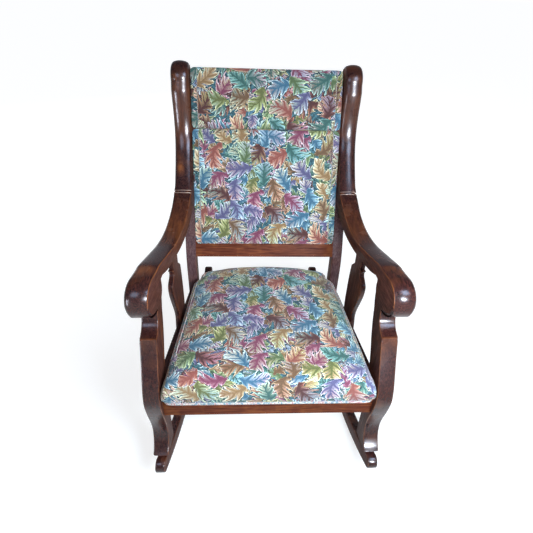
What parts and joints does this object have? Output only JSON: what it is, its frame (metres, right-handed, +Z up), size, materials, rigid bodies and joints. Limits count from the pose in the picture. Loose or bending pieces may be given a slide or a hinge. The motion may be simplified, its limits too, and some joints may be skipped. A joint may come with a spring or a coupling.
{
  "type": "rocking chair",
  "caption": "Upholstered wooden rocking chair with scroll arms, S-shaped front legs, a tall leaning back with rolled ears, side splats and bent runners.",
  "frame": {"origin": "on the floor, under the middle of the chair's depth and width", "axes": "+Z up, +X to the viewer's right when the chair faces the viewer, front towards -Y"},
  "size_m": [0.668, 0.85, 0.9708],
  "materials": {
    "dark_wood": "gloss",
    "rail_wood": "satin",
    "frame_wood": "raw",
    "screw_steel": "plain",
    "spring_steel": "plain",
    "tapestry": "woven",
    "jute": "woven",
    "black_cloth": "woven"
  },
  "bodies": {
    "root": {"left_runner": "dark_wood", "right_runner": "dark_wood", "left_front_leg": "dark_wood", "right_front_leg": "dark_wood", "left_rear_leg": "dark_wood", "right_rear_leg": "dark_wood", "left_ear": "dark_wood", "right_ear": "dark_wood", "left_arm": "dark_wood", "right_arm": "dark_wood", "left_splat": "dark_wood", "right_splat": "dark_wood", "front_seat_rail": "rail_wood", "rear_seat_rail": "rail_wood", "left_side_rail": "dark_wood", "right_side_rail": "dark_wood", "left_front_corner_block": "frame_wood", "right_front_corner_block": "frame_wood", "left_rear_corner_block": "frame_wood", "right_rear_corner_block": "frame_wood", "corner_block_screws": "screw_steel", "runner_dowels": "frame_wood", "back_bottom_rail": "rail_wood", "back_top_rail": "rail_wood", "left_back_strip": "frame_wood", "right_back_strip": "frame_wood", "back_webbing": "jute", "back_cushion": "tapestry", "head_cushion": "tapestry", "outer_back_cover": "tapestry", "seat_webbing": "jute", "seat_springs": "spring_steel", "spring_burlap": "jute", "seat_cushion": "tapestry", "dust_cover": "black_cloth"}
  },
  "joints": []
}
